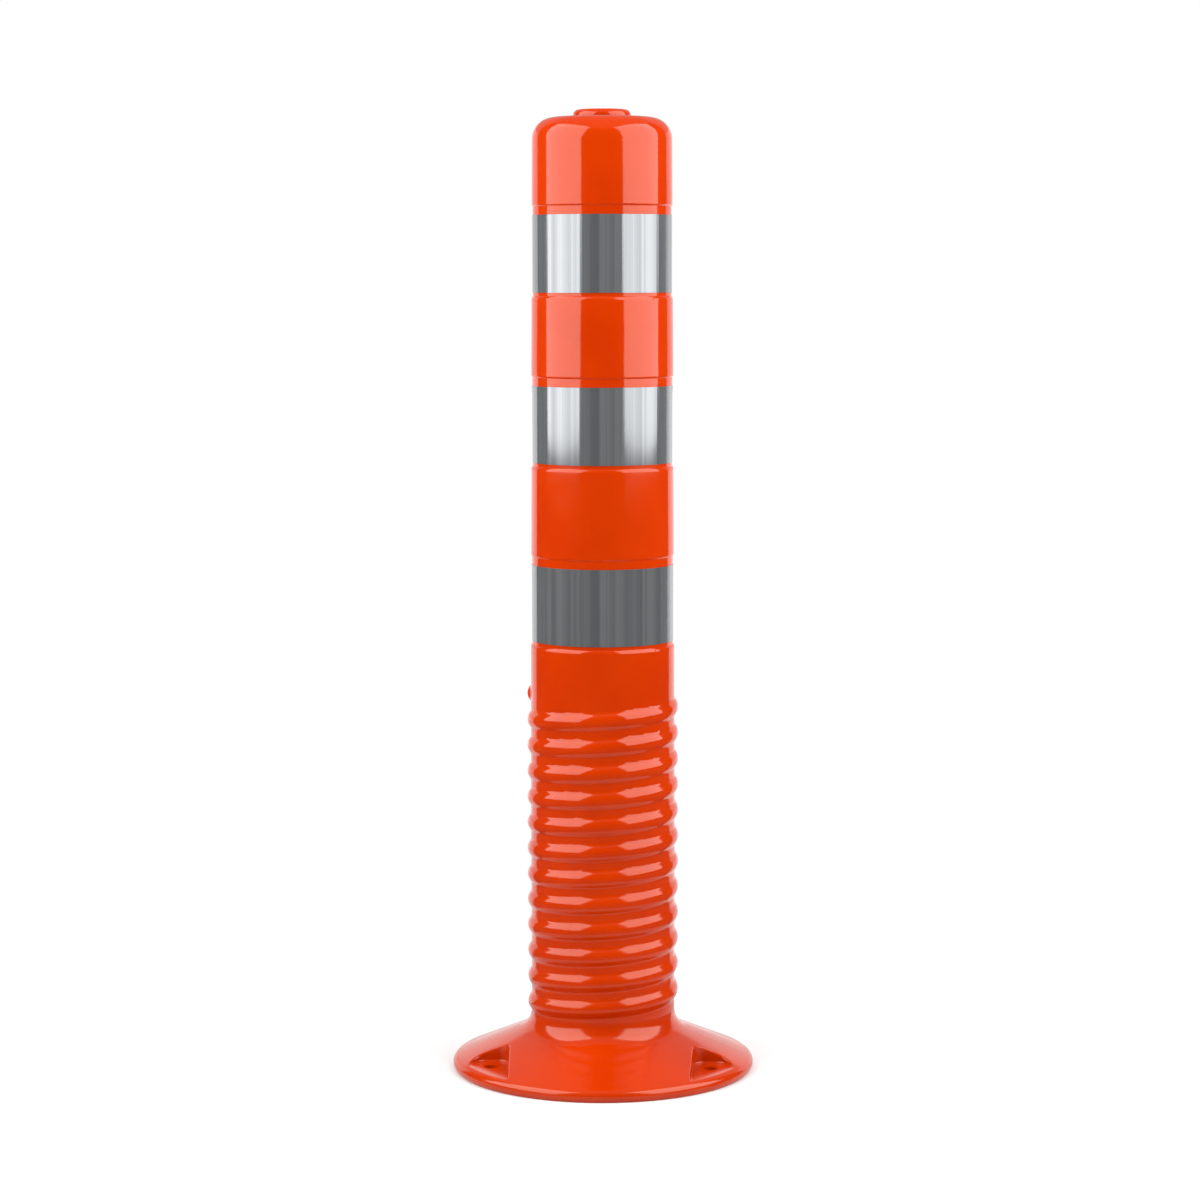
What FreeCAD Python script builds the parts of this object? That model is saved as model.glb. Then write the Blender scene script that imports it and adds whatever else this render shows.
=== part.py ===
"""Flexible delineator post: a hollow polyurethane post, bolted to the road, that bends when it is hit.

Sizes are in millimetres. The origin is the centre of the underside, +Z is up and -Y is the front.
The moulding's lower part bends, so it is divided into short stiff rings with soft webs between
them, which stand on the base flange and carry the upper tube. The bands and the plug are fitted to it.
"""

import FreeCAD
import Part
import math
import os

# ---- Overall sizes
BODY_HEIGHT = 627.0  # underside to the flat top of the moulding
BASE_RADIUS = 100.0  # widest radius of the base flange
TUBE_RADIUS = 47.6  # outside radius of the bending part
TUBE_DRAFT = 2.0  # how much the upper tube's radius narrows towards the top
WALL = 5.0

# ---- Base flange
FOOT_INSET = 1.5  # the underside's edge lies this far inside the widest radius
RIM_HEIGHT = 3.4  # height of the widest radius
RIM_ROUND = 5.0  # radius of the rim's upper edge
FLANGE_ANGLE = 23.4  # slope of the flange's upper face, in degrees
NECK_FILLET = 15.0
CORE_CHAMFER = 2.0  # at the mouth of the hollow
GRIP_GROOVES = 3  # concentric grooves in the underside
GRIP_GROOVE_WIDTH = 4.0
GRIP_GROOVE_DEPTH = 1.5
GRIP_GROOVE_PITCH = 8.0
GRIP_GROOVE_INSET = 7.0  # from the hollow to the first groove

# ---- Anchor holes and the notches that their washers sit in
ANCHOR_COUNT = 3
ANCHOR_INSET = 17.0  # hole centre from the widest radius
ANCHOR_HOLE_RADIUS = 4.5
NOTCH_FLOOR = 8.5  # height of the washer seat
NOTCH_SIDE_GAP = 11.2  # hole centre to the wall on the side of the post's middle, in the front notches
NOTCH_GAP = 14.8  # hole centre to the other walls
NOTCH_DRAFT = 2.5  # the side walls open outwards by this angle, in degrees
NOTCH_CORNER = 8.0  # radius of the corner beside the side gap
NOTCH_WRAP = 14.0  # radius of the other corners, which run round the hole
NOTCH_FILLET = 1.5  # between the seat and its walls
NOTCH_EDGE = 1.2  # rounding where the walls meet the flange's upper face

# ---- Bending part: a helical rib on a plain tube
RIB_TURNS = 12
RIB_HEIGHT = 2.3
RIB_WIDTH = 10.2
RIB_ROOT = 1.5  # how deep the rib's section reaches into the wall
RIB_START_GAP = 4.3  # start of the bending part to the rib's first centre
PLAIN_ABOVE_RIB = 30.8  # from the rib's last centre to the end of the bending part
FLEX_MARGIN = 0.7  # straight tube beyond the neck fillet, and below the lowest shoulder
MODULES = 6  # one bend joint each
RING_SHARE = 0.32  # share of a module that stays stiff; the rest is a soft web

# ---- Reflective bands and the recesses that they lie in
BAND_HEIGHT = 50.0
BAND_THICKNESS = 0.4
BAND_OVERLAP = 12.0  # length of the lap joint at the back
BAND_DROP = 63.0  # flat top to the upper band's top edge
BAND_STEPS = (110.5, 117.0)  # from one band to the next, downwards
RECESS_DEPTH = 0.8
RECESS_BELOW = 2.3  # bare land under each band
RECESS_ABOVE = 5.5  # bare land over each band
SHOULDER_LOWER = 3.0  # radius of the edge below each recess
SHOULDER_UPPER = 1.5  # radius of the edge above each recess

# ---- Top of the moulding and its plug
CROWN_ROUND = 14.0
TOP_WALL = 6.0
PLUG_HOLE_RADIUS = 12.0
PLUG_HEAD_RADIUS = 19.0
PLUG_HEAD_HEIGHT = 5.0
PLUG_HEAD_ROUND = 4.0
PLUG_CLEARANCE = 0.1  # stem to hole, on radius
PLUG_BARB = 1.4  # how far the barb stands out of the stem
PLUG_BARB_HEIGHT = 4.0
PLUG_BARB_GAP = 0.2  # barb to the inner face of the top wall
PLUG_WALL = 2.5
PLUG_GRIP_SLOT = 3.0  # width of the slots that let the stem squeeze in
PLUG_SLOT_GAP = 1.0  # top of the slots to the underside of the head
PLUG_FLOOR = 3.0  # thickness of the head over the hollow stem

# ---- How far a shape that cuts runs past the face that it cuts
OVERRUN = 1.0

# ---- Sizes that follow from the ones above
CORE_RADIUS = TUBE_RADIUS - WALL
CROWN_RADIUS = TUBE_RADIUS - TUBE_DRAFT
RIB_RADIUS = TUBE_RADIUS + RIB_HEIGHT
SLOPE = math.radians(FLANGE_ANGLE)
RIM_TANGENT = (
    BASE_RADIUS - RIM_ROUND + RIM_ROUND * math.sin(SLOPE),
    RIM_HEIGHT + RIM_ROUND * math.cos(SLOPE),
)


def flange_height(radius):
    """Height of the flange's straight slope at a radius."""
    return RIM_TANGENT[1] + math.tan(SLOPE) * (RIM_TANGENT[0] - radius)


NECK_RADIUS = TUBE_RADIUS + NECK_FILLET
NECK_CENTRE = (NECK_RADIUS, flange_height(NECK_RADIUS) + NECK_FILLET / math.cos(SLOPE))
FLEX_START = NECK_CENTRE[1] + FLEX_MARGIN
BAND_BOTTOMS = [BODY_HEIGHT - BAND_DROP - BAND_HEIGHT]
for step in BAND_STEPS:
    BAND_BOTTOMS.append(BAND_BOTTOMS[-1] - step)
BAND_BOTTOMS.reverse()


def rise(radius, depth):
    """Length along the post that an edge of this radius takes to drop by depth."""
    return math.sqrt(radius**2 - (radius - depth) ** 2)


FLEX_END = BAND_BOTTOMS[0] - RECESS_BELOW - rise(SHOULDER_LOWER, RECESS_DEPTH) - FLEX_MARGIN
MODULE = (FLEX_END - FLEX_START) / MODULES
RING_HEIGHT = RING_SHARE * MODULE
RIB_START = FLEX_START + RIB_START_GAP
RIB_PITCH = (FLEX_END - PLAIN_ABOVE_RIB - RIB_START) / RIB_TURNS
SIDE_TOP = BODY_HEIGHT - CROWN_ROUND


def tube_radius(z):
    """Outside radius of the upper tube, which narrows evenly towards the top."""
    share = (z - FLEX_END) / (SIDE_TOP - FLEX_END)
    return TUBE_RADIUS - TUBE_DRAFT * share


def land_radius(bottom):
    """Radius of the cylinder that the band starting at this height is stuck to."""
    return tube_radius(bottom + BAND_HEIGHT / 2) - RECESS_DEPTH


ANCHOR_RADIUS = BASE_RADIUS - ANCHOR_INSET
ANCHOR_ANGLES = [90 + 360 / ANCHOR_COUNT * i for i in range(ANCHOR_COUNT)]


# ---- Drawing helpers
def at(radius, z):
    return FreeCAD.Vector(radius, 0, z)


def line(a, b):
    return Part.LineSegment(a, b).toShape()


def arc(centre, radius, start, end):
    """Arc in the XZ plane about centre, from the start angle to the end angle, in degrees."""
    points = []
    for angle in (start, (start + end) / 2, end):
        turn = math.radians(angle)
        points.append(at(centre[0] + radius * math.cos(turn), centre[1] + radius * math.sin(turn)))
    return Part.Arc(*points).toShape()


def end_of(edge):
    return edge.valueAt(edge.LastParameter)


def outline(pieces):
    """Joins arcs and points into one closed profile; straight lines fill what lies between them."""
    edges = []
    last = None
    first = None
    for piece in pieces:
        start = piece if isinstance(piece, FreeCAD.Vector) else piece.valueAt(piece.FirstParameter)
        if last is not None and (start - last).Length > 1e-6:
            edges.append(line(last, start))
        if first is None:
            first = start
        if isinstance(piece, FreeCAD.Vector):
            last = piece
        else:
            edges.append(piece)
            last = end_of(piece)
    if (first - last).Length > 1e-6:
        edges.append(line(last, first))
    return Part.Wire(edges)


def turned(pieces):
    """Solid of revolution about the post's axis."""
    return Part.Face(outline(pieces)).revolve(FreeCAD.Vector(0, 0, 0), FreeCAD.Vector(0, 0, 1), 360)


def disc(radius, low, high):
    return Part.makeCylinder(radius, high - low, FreeCAD.Vector(0, 0, low))


def slab(low, high):
    """Everything between two heights."""
    side = 4 * BASE_RADIUS
    return Part.makeBox(side, side, high - low, FreeCAD.Vector(-side / 2, -side / 2, low))


# ---- The helical rib
def rib():
    """Rib of a flattened round section that climbs to the right across the front, with rounded ends."""
    section_radius = ((RIB_WIDTH / 2) ** 2 + RIB_HEIGHT**2) / (2 * RIB_HEIGHT)
    centre = RIB_RADIUS - section_radius
    root = TUBE_RADIUS - RIB_ROOT
    spread = math.degrees(math.acos((root - centre) / section_radius))
    height = RIB_PITCH * RIB_TURNS
    pipe = Part.BRepOffsetAPI.MakePipeShell(Part.makeHelix(RIB_PITCH, height, TUBE_RADIUS))
    pipe.setBiNormalMode(FreeCAD.Vector(0, 0, 1))
    pipe.add(outline([arc((centre, 0), section_radius, -spread, spread)]))
    pipe.build()
    pipe.makeSolid()
    shell = disc(RIB_RADIUS + OVERRUN, -section_radius, height + section_radius)
    shell = shell.cut(disc(root, -2 * section_radius, height + 2 * section_radius))
    solid = pipe.shape()
    for z in (0, height):
        end = Part.makeSphere(section_radius, at(centre, z))
        solid = solid.fuse(end.common(shell))
    solid.rotate(FreeCAD.Vector(0, 0, 0), FreeCAD.Vector(0, 0, 1), 180)
    solid.translate(FreeCAD.Vector(0, 0, RIB_START))
    return solid


def bending_part(ribs):
    """The whole bending part in one piece, before it is divided."""
    tube = disc(TUBE_RADIUS, 0, FLEX_END + OVERRUN)
    tube = tube.cut(disc(CORE_RADIUS, -OVERRUN, FLEX_END + 2 * OVERRUN))
    return tube.fuse(ribs)


# ---- The base flange
def anchor_point(anchor):
    """Centre of an anchor hole on the underside."""
    turn = math.radians(anchor)
    return FreeCAD.Vector(ANCHOR_RADIUS * math.cos(turn), ANCHOR_RADIUS * math.sin(turn), 0)


def notch(anchor):
    """Space over one washer seat. Its side walls run to the front or back, where the mould opens."""
    hole = anchor_point(anchor)
    rear = hole.y > 0
    pull = 1 if rear else -1
    out = math.copysign(1, hole.x)
    reach = 2 * BASE_RADIUS
    lean = math.tan(math.radians(NOTCH_DRAFT)) * reach
    back = hole.y - pull * NOTCH_GAP
    near = []
    far = []
    for side, gap in ((-out, NOTCH_GAP if rear else NOTCH_SIDE_GAP), (out, NOTCH_GAP)):
        near.append(FreeCAD.Vector(hole.x + side * gap, back, 0))
        far.append(near[-1] + FreeCAD.Vector(side * lean, pull * reach, 0))
    plan = Part.makePolygon([near[0], near[1], far[1], far[0], near[0]])
    block = Part.Face(plan).extrude(FreeCAD.Vector(0, 0, BODY_HEIGHT))
    for corner, radius in zip(near, (NOTCH_WRAP if rear else NOTCH_CORNER, NOTCH_WRAP)):
        upright = [edge for edge in block.Edges if is_upright(edge) and stands_on(edge, corner)]
        block = block.makeFillet(radius, upright)
    floor = [edge for edge in block.Edges if edge.BoundBox.ZMax < 1e-6 and meets_flange(edge)]
    block = block.makeFillet(NOTCH_FILLET, floor)
    block.translate(FreeCAD.Vector(0, 0, NOTCH_FLOOR))
    return block


def is_upright(edge):
    return edge.BoundBox.ZLength > BODY_HEIGHT / 2


def stands_on(edge, point):
    box = edge.BoundBox
    return math.hypot(box.XMin - point.x, box.YMin - point.y) < 1e-3


def meets_flange(edge):
    """True for the edges at the foot of the notch's walls, and not for those beyond the rim."""
    box = edge.BoundBox
    nearest = math.hypot(max(box.XMin, -box.XMax, 0.0), max(box.YMin, -box.YMax, 0.0))
    return nearest < BASE_RADIUS


def bounds_notch(edge):
    """True for the curved edges where a notch's walls cut the flange's straight slope."""
    if isinstance(edge.Curve, (Part.Circle, Part.Line)):
        return False
    middle = edge.valueAt((edge.FirstParameter + edge.LastParameter) / 2)
    return abs(middle.z - flange_height(math.hypot(middle.x, middle.y))) < 0.01


def base_flange(ribs):
    """Round flange with a sloping top and a filleted neck, up to the bending part."""
    foot_radius = (FOOT_INSET**2 + RIM_HEIGHT**2) / (2 * FOOT_INSET)
    foot_angle = math.degrees(math.asin(RIM_HEIGHT / foot_radius))
    solid = turned(
        [
            at(CORE_RADIUS + CORE_CHAMFER, 0),
            arc((BASE_RADIUS - foot_radius, RIM_HEIGHT), foot_radius, -foot_angle, 0),
            arc((BASE_RADIUS - RIM_ROUND, RIM_HEIGHT), RIM_ROUND, 0, 90 - FLANGE_ANGLE),
            arc(NECK_CENTRE, NECK_FILLET, 270 - FLANGE_ANGLE, 180),
            at(TUBE_RADIUS, FLEX_START),
            at(CORE_RADIUS, FLEX_START),
            at(CORE_RADIUS, CORE_CHAMFER),
        ]
    )
    solid = solid.fuse(ribs.common(slab(0, FLEX_START)))
    for i in range(GRIP_GROOVES):
        inside = CORE_RADIUS + GRIP_GROOVE_INSET + i * GRIP_GROOVE_PITCH
        groove = disc(inside + GRIP_GROOVE_WIDTH, -OVERRUN, GRIP_GROOVE_DEPTH)
        solid = solid.cut(groove.cut(disc(inside, -2 * OVERRUN, GRIP_GROOVE_DEPTH + OVERRUN)))
    for angle in ANCHOR_ANGLES:
        solid = solid.cut(notch(angle))
        below = anchor_point(angle) - FreeCAD.Vector(0, 0, OVERRUN)
        solid = solid.cut(Part.makeCylinder(ANCHOR_HOLE_RADIUS, NOTCH_FLOOR + 2 * OVERRUN, below))
    rims = [edge for edge in solid.Edges if bounds_notch(edge)]
    return solid.makeFillet(NOTCH_EDGE, rims)


# ---- The upper tube
def recess_profile(bottom):
    """Outside of the tube past one recess, from below: lower shoulder, land, upper shoulder."""
    land = land_radius(bottom)
    low = bottom - RECESS_BELOW
    high = bottom + BAND_HEIGHT + RECESS_ABOVE
    pieces = []
    for z, radius, side in ((low, SHOULDER_LOWER, -1), (high, SHOULDER_UPPER, 1)):
        full = tube_radius(z)
        drop = full - land
        swing = math.degrees(math.acos((radius - drop) / radius))
        centre = (full - radius, z + side * rise(radius, drop))
        turn = (0, swing) if side < 0 else (-swing, 0)
        pieces.append(arc(centre, radius, *turn))
    return pieces


def upper_tube():
    """Closed tube with three recesses, a round shoulder at the top and the hole for the plug."""
    pieces = [at(CORE_RADIUS, FLEX_END), at(TUBE_RADIUS, FLEX_END)]
    for band_bottom in BAND_BOTTOMS:
        pieces += recess_profile(band_bottom)
    pieces.append(arc((CROWN_RADIUS - CROWN_ROUND, SIDE_TOP), CROWN_ROUND, 0, 90))
    pieces.append(at(PLUG_HOLE_RADIUS, BODY_HEIGHT))
    pieces.append(at(PLUG_HOLE_RADIUS, BODY_HEIGHT - TOP_WALL))
    inner_round = CROWN_ROUND - WALL
    centre = (CROWN_RADIUS - WALL - inner_round, BODY_HEIGHT - TOP_WALL - inner_round)
    pieces.append(arc(centre, inner_round, 90, 0))
    return turned(pieces)


# ---- Pieces fitted to the moulding
def reflective_band(bottom):
    """Strip of reflective film round its recess, with the end lapped over the start at the back."""
    land = land_radius(bottom)
    top = bottom + BAND_HEIGHT
    ring = disc(land + BAND_THICKNESS, bottom, top)
    ring = ring.cut(disc(land, bottom - OVERRUN, top + OVERRUN))
    lap = disc(land + 2 * BAND_THICKNESS, bottom, top)
    lap = lap.cut(disc(land + BAND_THICKNESS / 2, bottom - OVERRUN, top + OVERRUN))
    half_width = BAND_OVERLAP / 2
    window = Part.makeBox(BAND_OVERLAP, 2 * TUBE_RADIUS, BAND_HEIGHT, FreeCAD.Vector(-half_width, 0, bottom))
    return ring.fuse(lap.common(window)).removeSplitter()


def top_plug():
    """Press-in plug: a low round head over a hollow, slotted stem with a barb."""
    stem = PLUG_HOLE_RADIUS - PLUG_CLEARANCE
    barb_top = BODY_HEIGHT - TOP_WALL - PLUG_BARB_GAP
    barb_low = barb_top - PLUG_BARB_HEIGHT
    head_top = BODY_HEIGHT + PLUG_HEAD_HEIGHT
    solid = turned(
        [
            at(0, head_top - PLUG_FLOOR),
            at(stem - PLUG_WALL, head_top - PLUG_FLOOR),
            at(stem - PLUG_WALL, barb_low),
            at(stem - PLUG_BARB / 2, barb_low),
            at(stem + PLUG_BARB, barb_top - PLUG_BARB / 2),
            at(stem + PLUG_BARB, barb_top),
            at(stem, barb_top),
            at(stem, BODY_HEIGHT),
            at(PLUG_HEAD_RADIUS, BODY_HEIGHT),
            arc((PLUG_HEAD_RADIUS - PLUG_HEAD_ROUND, head_top - PLUG_HEAD_ROUND), PLUG_HEAD_ROUND, 0, 90),
            at(0, head_top),
        ]
    )
    slot_low = barb_low - OVERRUN
    slot_height = BODY_HEIGHT - PLUG_SLOT_GAP - slot_low
    for turn in (0, 90):
        corner = FreeCAD.Vector(-2 * stem, -PLUG_GRIP_SLOT / 2, slot_low)
        slot = Part.makeBox(4 * stem, PLUG_GRIP_SLOT, slot_height, corner)
        slot.rotate(FreeCAD.Vector(0, 0, 0), FreeCAD.Vector(0, 0, 1), turn)
        solid = solid.cut(slot)
    return solid


# ---- Assembly
def all_parts():
    """Every node's name and shape."""
    ribs = rib()
    whole = bending_part(ribs)
    parts = {"base_flange": base_flange(ribs), "upper_tube": upper_tube(), "top_plug": top_plug()}
    for name, bottom in zip(("lower", "middle", "upper"), BAND_BOTTOMS):
        parts[f"reflective_band_{name}"] = reflective_band(bottom)
    half_ring = RING_HEIGHT / 2
    for i in range(MODULES + 1):
        middle = FLEX_START + i * MODULE
        low = max(middle - half_ring, FLEX_START)
        high = min(middle + half_ring, FLEX_END)
        parts[f"flex_ring_{i + 1}"] = whole.common(slab(low, high))
        if i < MODULES:
            parts[f"flex_web_{i + 1}"] = whole.common(slab(high, middle + MODULE - half_ring))
    return parts


def report(name, shape):
    box = shape.optimalBoundingBox(False)
    print(
        f"{name:24s} valid {shape.isValid()} solids {len(shape.Solids)}"
        f" volume {shape.Volume / 1000:8.2f} cm3  z {box.ZMin:7.2f} to {box.ZMax:7.2f}"
    )


os.makedirs("parts", exist_ok=True)
for node, shape in all_parts().items():
    report(node, shape)
    shape.exportStep(f"parts/{node}.step")
print(f"bending part {FLEX_START:.2f} to {FLEX_END:.2f}, module {MODULE:.3f}, ring {RING_HEIGHT:.3f}")
print(f"rib from {RIB_START:.2f}, pitch {RIB_PITCH:.3f}; anchors on radius {ANCHOR_RADIUS:.1f}")
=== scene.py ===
# %% [markdown]
# # A flexible delineator post
#
# The post is one glossy orange moulding of soft polyurethane, with three strips of silver reflective
# film and a small plug in its domed top. The CAD model gives nearly every size, so this lesson starts by
# loading it and takes its places from it.

import math

import bpy
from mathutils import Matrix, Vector


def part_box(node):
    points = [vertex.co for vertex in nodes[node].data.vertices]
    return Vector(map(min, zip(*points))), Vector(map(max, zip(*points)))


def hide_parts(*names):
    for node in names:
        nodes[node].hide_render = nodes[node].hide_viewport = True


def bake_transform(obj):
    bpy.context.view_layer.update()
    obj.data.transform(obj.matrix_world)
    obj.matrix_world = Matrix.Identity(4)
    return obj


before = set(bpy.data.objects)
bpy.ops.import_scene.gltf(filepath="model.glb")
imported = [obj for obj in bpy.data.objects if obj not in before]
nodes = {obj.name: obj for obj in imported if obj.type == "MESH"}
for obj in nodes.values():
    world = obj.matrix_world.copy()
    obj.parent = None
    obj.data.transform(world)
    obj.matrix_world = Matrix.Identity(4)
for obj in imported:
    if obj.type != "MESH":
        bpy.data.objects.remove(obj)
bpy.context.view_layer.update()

# %% [markdown]
# ## The sizes that the looks need
#
# The nodes' own boxes say where the bending part starts and ends. Each hinge bends one module of it,
# from the middle of the ring below the hinge to the middle of the ring above. The first and last rings
# are half rings, so their outer faces are the two ends. The few sizes that no box can show, such as the
# pitch of the rib, are named here in metres.

# %% Read heights and radii from the nodes


def low(node):
    """Lowest corner of a node's box."""
    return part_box(node)[0]


def high(node):
    """Highest corner of a node's box."""
    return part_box(node)[1]


MODULES = sum(name.startswith("flex_web_") for name in nodes)
LAST_RING = f"flex_ring_{MODULES + 1}"
BEND_START = low("flex_ring_1").z
BEND_END = high(LAST_RING).z
MODULE = (BEND_END - BEND_START) / MODULES
TUBE_RADIUS = high(LAST_RING).x
WALL = 0.005
RIB_TURNS = 12
RIB_HEIGHT = 0.0023
RIB_WIDTH = 0.0102
RIB_START_GAP = 0.0043
PLAIN_ABOVE_RIB = 0.0308
RIB_START = BEND_START + RIB_START_GAP
RIB_PITCH = (BEND_END - PLAIN_ABOVE_RIB - RIB_START) / RIB_TURNS
print(f"bending part {BEND_START:.4f} to {BEND_END:.4f} m in {MODULES} modules, rib pitch {RIB_PITCH:.5f} m")

# %% [markdown]
# ## Shader maths as Python
#
# A material is easier to read as arithmetic than as boxes and wires. `Value` wraps one output socket, and
# its operators add Math nodes, so `1 - mask` is a real line of a shader. Every other node comes from
# `Shader.node`, which sets the node's settings first and then the values or links of its sockets.

# %% A wrapper for sockets


class Value:
    """One output of a node, which arithmetic turns into Math nodes."""

    def __init__(self, shader, socket):
        self.shader = shader
        self.socket = socket

    def maths(self, operation, *inputs):
        """Adds one Math node on the given numbers or values."""
        return self.shader.node("Math", dict(enumerate(inputs)), operation=operation)

    def __add__(self, other):
        return self.maths("ADD", self, other)

    def __sub__(self, other):
        return self.maths("SUBTRACT", self, other)

    def __rsub__(self, other):
        return self.maths("SUBTRACT", other, self)

    def __mul__(self, other):
        return self.maths("MULTIPLY", self, other)

    def __abs__(self):
        return self.maths("ABSOLUTE", self)

    __radd__ = __add__
    __rmul__ = __mul__


# %% A material as a small graph


class Shader:
    """A new material with a Principled surface, built one node at a time."""

    def __init__(self, name):
        self.material = bpy.data.materials.new(name)
        self.material.use_nodes = True
        self.tree = self.material.node_tree
        self.surface = self.tree.nodes["Principled BSDF"]

    def node(self, kind, sockets=None, out=0, **settings):
        """Adds a node, with its settings first, and returns one of its outputs."""
        made = self.tree.nodes.new("ShaderNode" + kind)
        for key, setting in settings.items():
            setattr(made, key, setting)
        for key, value in (sockets or {}).items():
            self.feed(made.inputs[key], value)
        return Value(self, made.outputs[out])

    def feed(self, socket, value):
        """Links a Value to a socket, or sets a plain number or colour on it."""
        if isinstance(value, Value):
            self.tree.links.new(value.socket, socket)
        else:
            socket.default_value = value

    def apply(self, sockets):
        """Feeds the surface's own sockets and returns the material."""
        for key, value in sockets.items():
            self.feed(self.surface.inputs[key], value)
        return self.material

    def mix(self, factor, first, second):
        """Blends two colours."""
        sockets = {0: factor, 6: first, 7: second}
        return self.node("Mix", sockets, out=2, data_type="RGBA")

    def noise(self, vector, scale, detail=2.0, roughness=0.5):
        """Noise from 0 to 1 with so many lumps in a metre."""
        sockets = {"Vector": vector, "Scale": scale, "Detail": detail, "Roughness": roughness}
        return self.node("TexNoise", sockets)

    def position(self):
        """Where the surface point is, in metres, as a vector."""
        return self.node("TexCoord", out="Object")

    def step(self, value, start, end):
        """0 below start, 1 above end and a smooth rise between them."""
        sockets = {"Value": value, "From Min": start, "From Max": end}
        return self.node("MapRange", sockets, interpolation_type="SMOOTHSTEP")


print("shader helpers ready")

# %% [markdown]
# ## The orange moulding
#
# Cast polyurethane copies its polished mould, so it is glossy, with a faint unevenness that bends
# reflections: long shallow waves, a fine orange peel, and the line where the two mould halves met, on
# the left and right. A painted image could carry these marks, but noise needs no unwrapping and is as
# fine as the eye comes close. The colour itself is nearly even. Two oranges, mixed by a large noise, keep
# it from looking like paint on a screen. Grit from the road dulls the ribs and the flange a little, so
# roughness rises towards the ground. The gloss has one tint all over, which is set on its own socket.

# %% Sizes and strengths in the orange finish
ORANGE = (0.49, 0.0305, 0.0, 1)
DEEP_ORANGE = (0.42, 0.0215, 0.0, 1)
WARM_GLOSS = (1.0, 0.92, 0.78, 1)
GLOSS_LEVEL = 0.45
CLOUDS = 22.0  # this and the next four are lumps per metre
GRAINS = 1400.0
WAVES = 38.0
PEEL = 420.0
SCUFFS = 95.0
CLOUD_EDGES = (0.35, 0.72)  # the noise between which the deeper orange sets in
CLOUD_SHADE = 0.55  # shares of the deeper orange
GRAIN_SHADE = 0.12
BUMP_DEPTH = 0.00025  # metres that a height of 1 stands for
WAVE_HEIGHT = 0.6
PEEL_HEIGHT = 0.01
SEAM_HEIGHT = 0.16
SEAM_HALF_WIDTH = 0.0004
POLISHED = 0.05  # roughness where nothing dulls the surface
SCUFF_DULLS = 0.07
GRIT_DULLS = 0.05

# %% Make the orange material


def moulding(name, seam=True):
    """Glossy orange polyurethane, with or without the mould's parting line."""
    shader = Shader(name)
    place = shader.position()
    cloud = shader.noise(place, CLOUDS, detail=3.0)
    grain = shader.noise(place, GRAINS, detail=1.0)
    deeper = shader.step(cloud, *CLOUD_EDGES) * CLOUD_SHADE + grain * GRAIN_SHADE
    waves = shader.noise(place, WAVES, detail=1.0)
    peel = shader.noise(place, PEEL, detail=2.0)
    height = waves * WAVE_HEIGHT + peel * PEEL_HEIGHT
    if seam:
        across = shader.node("SeparateXYZ", {"Vector": place}, out="Y")
        height = height + (1 - shader.step(abs(across), 0.0, SEAM_HALF_WIDTH)) * SEAM_HEIGHT
    bump = shader.node("Bump", {"Height": height, "Strength": 1.0, "Distance": BUMP_DEPTH}, out="Normal")
    scuff = shader.noise(place, SCUFFS, detail=6.0, roughness=0.7)
    above_road = shader.node("SeparateXYZ", {"Vector": place}, out="Z")
    grit = 1 - shader.step(above_road, BEND_START, BEND_END)
    return shader.apply(
        {
            "Base Color": shader.mix(deeper, ORANGE, DEEP_ORANGE),
            "Specular IOR Level": GLOSS_LEVEL,
            "Specular Tint": WARM_GLOSS,
            "Roughness": POLISHED + scuff * SCUFF_DULLS + grit * GRIT_DULLS,
            "Normal": bump,
        }
    )


orange = moulding("orange_moulding")
plug_orange = moulding("orange_plug", seam=False)
print("made", orange.name, "and", plug_orange.name)

# %% [markdown]
# ## The reflective film
#
# The strips are metallised film under a clear face. Rolling leaves fine streaks across the strip's
# length, so on the post they stand upright, and each scatters a reflection sideways. The streaks depend
# only on the angle round the post: a one-dimensional noise of that angle draws them at any scale. The
# angle is measured from the front, so its jump lies at the back, by the lap of the film. Anisotropic
# gloss could smear a highlight in the same way, but the streaks themselves have to show as well. The
# film is only partly metallic, because its clear face also scatters some light of its own.

# %% Sizes and strengths in the film
SILVER = (0.25, 0.26, 0.265, 1)
SMOKE = (0.165, 0.172, 0.182, 1)
BROAD_STREAKS = 6.0  # streaks per radian round the post
FINE_STREAKS = 60.0
SPECKS = 900.0  # per metre
STREAK_EDGES = (0.36, 0.64)  # the noise between which smoke turns to silver
BROAD_SHARE = 0.75  # of the colour; the fine streaks have the rest
STREAK_DEPTH = 0.0003  # metres that a height of 1 stands for
BROAD_HEIGHT = 0.5
FINE_HEIGHT = 0.02
SPECK_HEIGHT = 0.008
FILM_METALLIC = 0.6
FILM_POLISHED = 0.07  # roughness between the fine streaks
STREAK_DULLS = 0.05

# %% Make the film material


def streaks(shader, angle, count, detail):
    """Noise that changes only with the angle round the post."""
    sockets = {"W": angle * count, "Scale": 1.0, "Detail": detail}
    return shader.node("TexNoise", sockets, noise_dimensions="1D")


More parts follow.
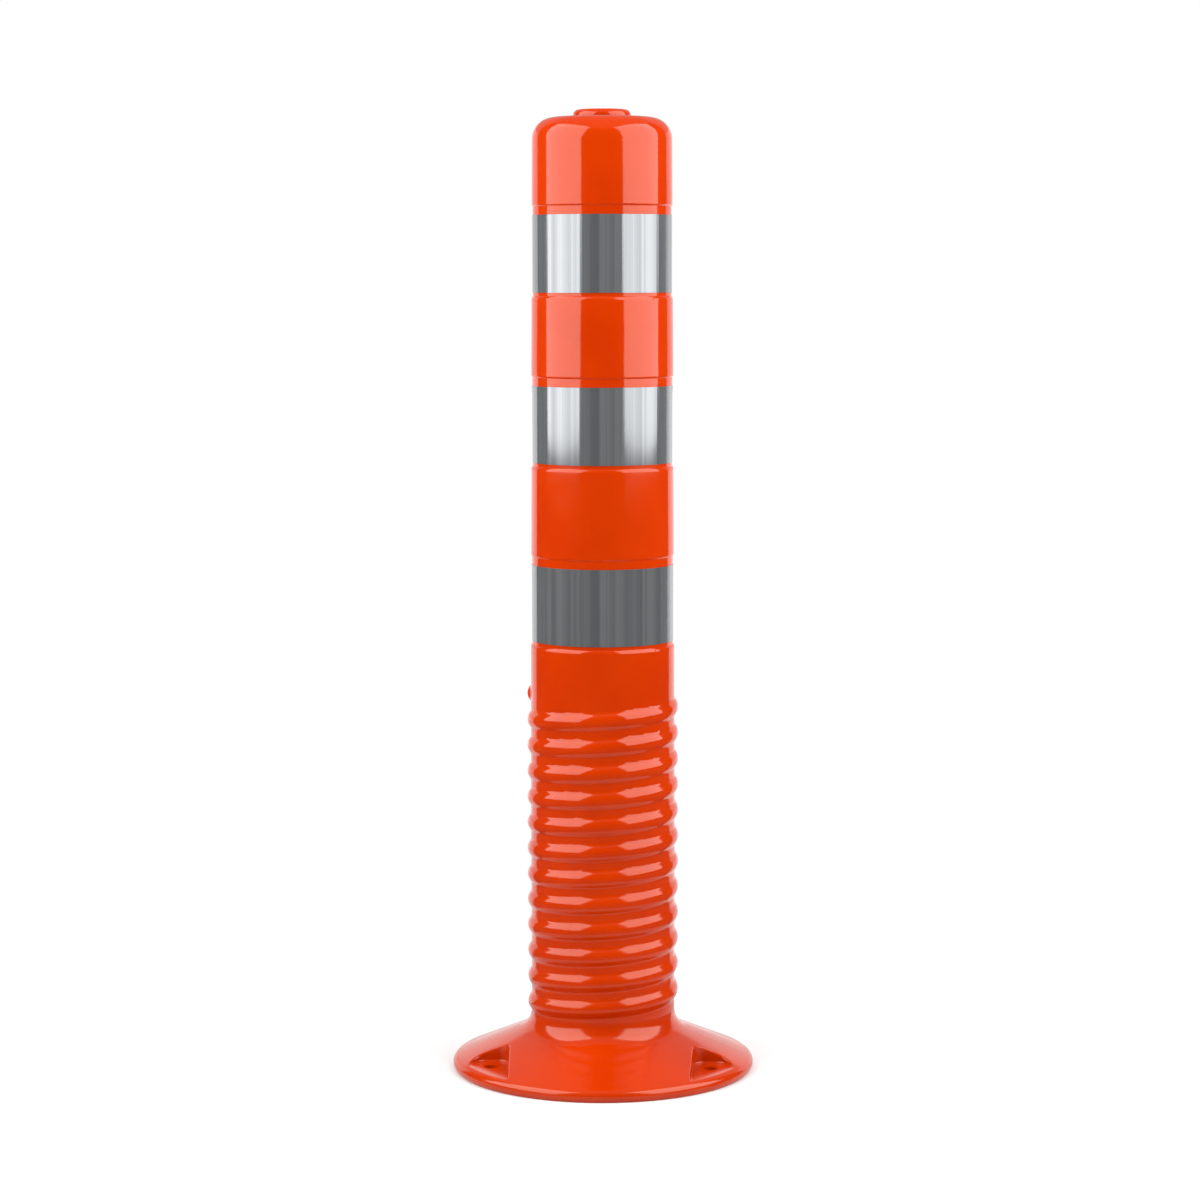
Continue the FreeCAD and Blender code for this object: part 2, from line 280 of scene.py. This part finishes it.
def reflective_film(name):
    """Silver film with upright streaks."""
    shader = Shader(name)
    place = shader.position()
    x = shader.node("SeparateXYZ", {"Vector": place}, out="X")
    y = shader.node("SeparateXYZ", {"Vector": place}, out="Y")
    angle = x.maths("ARCTAN2", x, y * -1)
    broad = streaks(shader, angle, BROAD_STREAKS, 2.0)
    fine = streaks(shader, angle, FINE_STREAKS, 3.0)
    speck = shader.noise(place, SPECKS, detail=2.0)
    streak = broad * BROAD_SHARE + fine * (1 - BROAD_SHARE)
    height = fine * FINE_HEIGHT + broad * BROAD_HEIGHT + speck * SPECK_HEIGHT
    bump = shader.node("Bump", {"Height": height, "Strength": 1.0, "Distance": STREAK_DEPTH}, out="Normal")
    return shader.apply(
        {
            "Base Color": shader.mix(shader.step(streak, *STREAK_EDGES), SMOKE, SILVER),
            "Metallic": FILM_METALLIC,
            "Roughness": FILM_POLISHED + fine * STREAK_DULLS,
            "Normal": bump,
        }
    )


film = reflective_film("reflective_film")
print("made", film.name)

# %% [markdown]
# ## The bending part
#
# On the real post the ribbed part is the same moulding as the rest, and it bends as one smooth tube. The
# CAD model holds it as stiff rings and soft webs, which would show gaps when it bends. A plain sleeve
# could cover the gaps, but it would hide the rib. So one skin per hinge stands in for the rings and
# webs: a length of tube whose outside follows the helical rib. Each skin is a closed shell, with the
# bore inside it. Its surface is a formula, so neighbours meet exactly, and their normals come from the
# same formula, so that no line shows where two skins meet.

# %% The shape of the rib
ROOT_FILLET = 0.0006
NORMAL_STEP = 0.00005
SECTION_RADIUS = ((RIB_WIDTH / 2) ** 2 + RIB_HEIGHT**2) / (2 * RIB_HEIGHT)
SINK = SECTION_RADIUS - RIB_HEIGHT


def soft_positive(height):
    """Close to max(height, 0), with a fillet where the two meet."""
    return (height + math.hypot(height, 2 * ROOT_FILLET)) / 2


FAR_HEIGHT = soft_positive(-SINK)


def outer_radius(angle, z):
    """Radius of the outside at an angle round the post, counted from where the rib starts."""
    turn = angle / math.tau
    nearest = round((z - RIB_START) / RIB_PITCH - turn)
    highest = 0.0
    for lap in (nearest - 1, nearest, nearest + 1):
        along = turn + lap
        inside = min(max(along, 0.0), float(RIB_TURNS))
        past_end = (along - inside) * math.tau * TUBE_RADIUS
        distance = math.hypot(z - RIB_START - RIB_PITCH * inside, past_end)
        arch = math.sqrt(max(SECTION_RADIUS**2 - distance**2, 0.0)) - SINK
        highest = max(highest, soft_positive(arch) - FAR_HEIGHT)
    return TUBE_RADIUS + highest


def outside_point(angle, z):
    """Point of the outside, with angle 0 on the left of the post."""
    radius = outer_radius(angle, z)
    return Vector((-radius * math.cos(angle), -radius * math.sin(angle), z))


def outside_normal(angle, z):
    """Direction that the outside faces, from two small steps along it."""
    turn = NORMAL_STEP / TUBE_RADIUS
    across = outside_point(angle + turn, z) - outside_point(angle - turn, z)
    up = outside_point(angle, z + NORMAL_STEP) - outside_point(angle, z - NORMAL_STEP)
    return across.cross(up).normalized()


print(f"crest radius {outer_radius(0.0, RIB_START + 3 * RIB_PITCH):.4f} m")

# %% [markdown]
# A skin is a grid rolled into a tube: columns go round the post and rows go up it. The rows of the
# outside are close together, because the rib's curve has to look round in a glossy finish. The bore is
# plain, so it has few rows, with the same number of columns, which lets the two be closed by flat rims.

# %% Rows of points, outside and inside
COLUMNS = 256
OUTER_ROWS = 60
BORE_ROWS = 8
ALL_ROWS = OUTER_ROWS + 1 + BORE_ROWS + 1
RIM_ROWS = (OUTER_ROWS, ALL_ROWS - 1)
BORE_RADIUS = TUBE_RADIUS - WALL
COLUMN_ANGLES = [math.tau * i / COLUMNS for i in range(COLUMNS)]


def outside_rows(bottom, top):
    """Points and normals of the ribbed outside, from the bottom up."""
    heights = [bottom + (top - bottom) * i / OUTER_ROWS for i in range(OUTER_ROWS + 1)]
    points = [outside_point(angle, z) for z in heights for angle in COLUMN_ANGLES]
    normals = [outside_normal(angle, z) for z in heights for angle in COLUMN_ANGLES]
    return points, normals


def bore_rows(bottom, top):
    """Points and normals of the plain bore, from the top down."""
    points = []
    normals = []
    for i in range(BORE_ROWS + 1):
        z = top + (bottom - top) * i / BORE_ROWS
        for angle in COLUMN_ANGLES:
            outward = Vector((-math.cos(angle), -math.sin(angle), 0))
            points.append(outward * BORE_RADIUS + Vector((0, 0, z)))
            normals.append(-outward)
    return points, normals


print("rows", ALL_ROWS, "of", COLUMNS, "points")

# %% Close the rows into a shell


def shell_faces():
    """Quads from each row to the next, and from the last row back to the first."""
    faces = []
    for row in range(ALL_ROWS):
        here = row * COLUMNS
        above = (row + 1) % ALL_ROWS * COLUMNS
        for i in range(COLUMNS):
            j = (i + 1) % COLUMNS
            faces.append((here + i, here + j, above + j, above + i))
    return faces


def skin_mesh(name, bottom, top):
    """Closed shell between two heights, with exact normals and flat rims."""
    points, normals = outside_rows(bottom, top)
    bore_points, bore_normals = bore_rows(bottom, top)
    normals = normals + bore_normals
    mesh = bpy.data.meshes.new(name)
    mesh.from_pydata(points + bore_points, [], shell_faces())
    mesh.shade_smooth()
    corner_normals = []
    for face in mesh.polygons:
        flat = face.index // COLUMNS in RIM_ROWS
        face.use_smooth = not flat
        for corner in face.vertices:
            corner_normals.append(face.normal if flat else normals[corner])
    mesh.normals_split_custom_set(corner_normals)
    return mesh


print("skin helpers ready")

# %% [markdown]
# Skin number i covers module number i, and ring i and web i are hidden. The last skin also stands in for the
# last ring, which is hidden too.

# %% Build one skin per hinge
for i in range(MODULES):
    name = f"bending_skin_{i + 1}"
    bottom = BEND_START + i * MODULE
    skin = bpy.data.objects.new(name, skin_mesh(name, bottom, bottom + MODULE))
    bpy.context.scene.collection.objects.link(skin)
    skin.data.materials.append(orange)
    bottom + MODULE
    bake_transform(skin)
    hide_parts(f"flex_ring_{i + 1}", f"flex_web_{i + 1}")
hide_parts(LAST_RING)

# %% [markdown]
# ## Finish of the CAD pieces
#
# The base flange, the upper tube, the strips and the plug already have their true shape, so they only
# need their materials.

# %% Give the CAD pieces their materials
FINISHES = {"base_flange": orange, "upper_tube": orange, "top_plug": plug_orange}
for name in nodes:
    if name.startswith("reflective_band_"):
        FINISHES[name] = film
for name, finish in FINISHES.items():
    nodes[name].data.materials.clear()
    nodes[name].data.materials.append(finish)
    print(name, "->", finish.name)

# %% [markdown]
# ## Studio
#
# The floor is pale and the surround is white. Far from the post the floor glows a little, so that it
# turns as white as the surround and no horizon shows. What a glossy post looks like is mostly what it
# reflects, so the rest of the studio is made for the reflections.

# %% Floor and surround
FLOOR_HALF = 12.0
FLOOR_GREY = 0.7
FLOOR_ROUGHNESS = 0.8
FAR_GLOW = 0.6
GLOW_FROM = 0.4  # distance from the post where the glow starts, and where it is full
GLOW_FULL = 2.2
BLACK = (0, 0, 0, 1)
WHITE = (1, 1, 1, 1)


def stage_piece(name, points, faces, material):
    """Object of the studio, which isn't part of the post."""
    mesh = bpy.data.meshes.new(name)
    mesh.from_pydata(points, [], faces)
    piece = bpy.data.objects.new(name, mesh)
    bpy.context.scene.collection.objects.link(piece)
    mesh.materials.append(material)
    return piece


def pale_floor():
    """Pale floor that glows a little far from the post."""
    shader = Shader("pale_floor")
    distance = shader.node("VectorMath", {0: shader.position()}, out="Value", operation="LENGTH")
    glow = shader.mix(shader.step(distance, GLOW_FROM, GLOW_FULL), BLACK, WHITE)
    return shader.apply(
        {
            "Base Color": (FLOOR_GREY, FLOOR_GREY, FLOOR_GREY, 1),
            "Roughness": FLOOR_ROUGHNESS,
            "Emission Color": glow,
            "Emission Strength": FAR_GLOW,
        }
    )


floor_corners = [(-1, -1), (1, -1), (1, 1), (-1, 1)]
floor_points = [(x * FLOOR_HALF, y * FLOOR_HALF, 0) for x, y in floor_corners]
stage_piece("floor", floor_points, [(0, 1, 2, 3)], pale_floor())

world = bpy.data.worlds.new("white_surround")
bpy.context.scene.world = world
world.use_nodes = True
background = world.node_tree.nodes["Background"]
background.inputs["Color"].default_value = WHITE
background.inputs["Strength"].default_value = 1.0
print("floor and white surround ready")

# %% [markdown]
# Five cards go round the post. The camera doesn't see them, and they cast no shadow. Dark cards on the
# camera's side, upright and on the floor, keep the middle of the post deep in colour, and the white
# surround past their ends draws a bright line down both edges. The pale disc close to the foot shows on
# the undersides of the rib, and the grey cards behind and above dim what the dome and the flange
# reflect. All but the upright dark card only show in reflections; that one also holds back some of the
# surround's soft light. Each card is a strip round the post's axis between two edges, and an edge is
# given by its radius and height.

# %% Cards round the post
FRONT = math.radians(2.3)  # from the post's own front to the camera
BACK = FRONT + math.pi
CARD_RADIUS = 2.7
CARD_TOP = 3.2
CARD_HALF_ANGLE = math.radians(131)
CARD_STEPS = 36
CARD_GREY = 0.02
CARD_LIFT = 0.001  # above the floor
NEAR_FLOOR = 0.21
CENTRE = 0.01
BACK_CARD_LOW = 1.2
ROOF_RISE = 0.2
DARK_GLOW = 0.015
FOOT_GLOW = 0.7
BACK_GLOW = 0.4
ROOF_GLOW = 0.3


def card(name, inner, outer, middle, half_angle, glow, glossy_only=True):
    """Strip round the post's axis between two (radius, height) edges."""
    points = []
    for i in range(CARD_STEPS + 1):
        angle = middle + half_angle * (2 * i / CARD_STEPS - 1)
        for radius, z in (inner, outer):
            points.append((radius * math.sin(angle), -radius * math.cos(angle), z))
    faces = [(2 * i, 2 * i + 2, 2 * i + 3, 2 * i + 1) for i in range(CARD_STEPS)]
    shader = Shader(name)
    card_grey = (CARD_GREY, CARD_GREY, CARD_GREY, 1)
    sockets = {"Base Color": card_grey, "Roughness": 1.0, "Emission Color": WHITE, "Emission Strength": glow}
    strip = stage_piece(name, points, faces, shader.apply(sockets))
    strip.visible_camera = False
    strip.visible_shadow = False
    strip.visible_diffuse = not glossy_only
    print(name, "glows", glow)


wall_foot = (CARD_RADIUS, 2 * CARD_LIFT)
wall_head = (CARD_RADIUS, CARD_TOP)
floor_edges = [(radius, CARD_LIFT) for radius in (CENTRE, NEAR_FLOOR, CARD_RADIUS)]
roof_middle = (CENTRE, CARD_TOP + ROOF_RISE)
card("dark_wall", wall_foot, wall_head, FRONT, CARD_HALF_ANGLE, DARK_GLOW, glossy_only=False)
card("dark_floor", floor_edges[1], floor_edges[2], FRONT, CARD_HALF_ANGLE, DARK_GLOW)
card("near_floor", floor_edges[0], floor_edges[1], FRONT, math.pi, FOOT_GLOW)
card("grey_back", (CARD_RADIUS, BACK_CARD_LOW), wall_head, BACK, math.pi - CARD_HALF_ANGLE, BACK_GLOW)
card("grey_roof", wall_head, roof_middle, FRONT, math.pi, ROOF_GLOW)

# %% [markdown]
# Two tall soft boxes stand to the left and right of the camera and draw the two upright highlights. They
# stop well above the floor, so the lower strip has nothing bright to mirror, and they are tipped
# down towards the post.

# %% Two soft boxes
BOX_DISTANCE = 1.15
BOX_ANGLE = math.radians(68)
BOX_TILT = math.radians(16)
BOX_LOW = 0.347
BOX_HEIGHT = 1.45
BOX_WIDTH = 1.45
BOX_POWER = 27.0


def soft_box(name, side):
    """Area light at one side of the camera, by the distance and height of its lower edge."""
    light = bpy.data.lights.new(name, "AREA")
    light.shape = "RECTANGLE"
    light.size = BOX_WIDTH
    light.size_y = BOX_HEIGHT
    light.energy = BOX_POWER
    lamp = bpy.data.objects.new(name, light)
    bpy.context.scene.collection.objects.link(lamp)
    reach = BOX_DISTANCE - BOX_HEIGHT / 2 * math.sin(BOX_TILT)
    height = BOX_LOW + BOX_HEIGHT / 2 * math.cos(BOX_TILT)
    angle = FRONT + side * BOX_ANGLE
    lamp.location = (reach * math.sin(angle), -reach * math.cos(angle), height)
    lamp.rotation_euler = (math.pi / 2 - BOX_TILT, 0, angle)
    lamp.visible_camera = False
    return lamp


soft_boxes = [soft_box("soft_box_left", -1), soft_box("soft_box_right", 1)]
print("soft boxes at", [tuple(round(v, 2) for v in lamp.location) for lamp in soft_boxes])

# %% [markdown]
# ## Camera
#
# A long lens keeps the sides of the post almost parallel. The camera is a little above the middle of
# the post and tipped down by about six degrees.

# %% Camera and view transform
CAMERA_DISTANCE = 2.0574
CAMERA_ASIDE = -0.0014
CAMERA_HEIGHT = 0.5255
CAMERA_PITCH = math.radians(84.085)  # 90 degrees would look level
CAMERA_ROLL = math.radians(0.076)
LENS = 94.2
SENSOR = 36.0
camera_data = bpy.data.cameras.new("camera")
camera_data.sensor_width = SENSOR
camera_data.lens = LENS
camera = bpy.data.objects.new("camera", camera_data)
bpy.context.scene.collection.objects.link(camera)
camera.location = (
    CAMERA_DISTANCE * math.sin(FRONT) + CAMERA_ASIDE * math.cos(FRONT),
    -CAMERA_DISTANCE * math.cos(FRONT) + CAMERA_ASIDE * math.sin(FRONT),
    CAMERA_HEIGHT,
)
camera.rotation_euler = (CAMERA_PITCH, CAMERA_ROLL, FRONT)
bpy.context.scene.camera = camera
bpy.context.scene.view_settings.view_transform = "Standard"
print("camera at", tuple(camera.location))
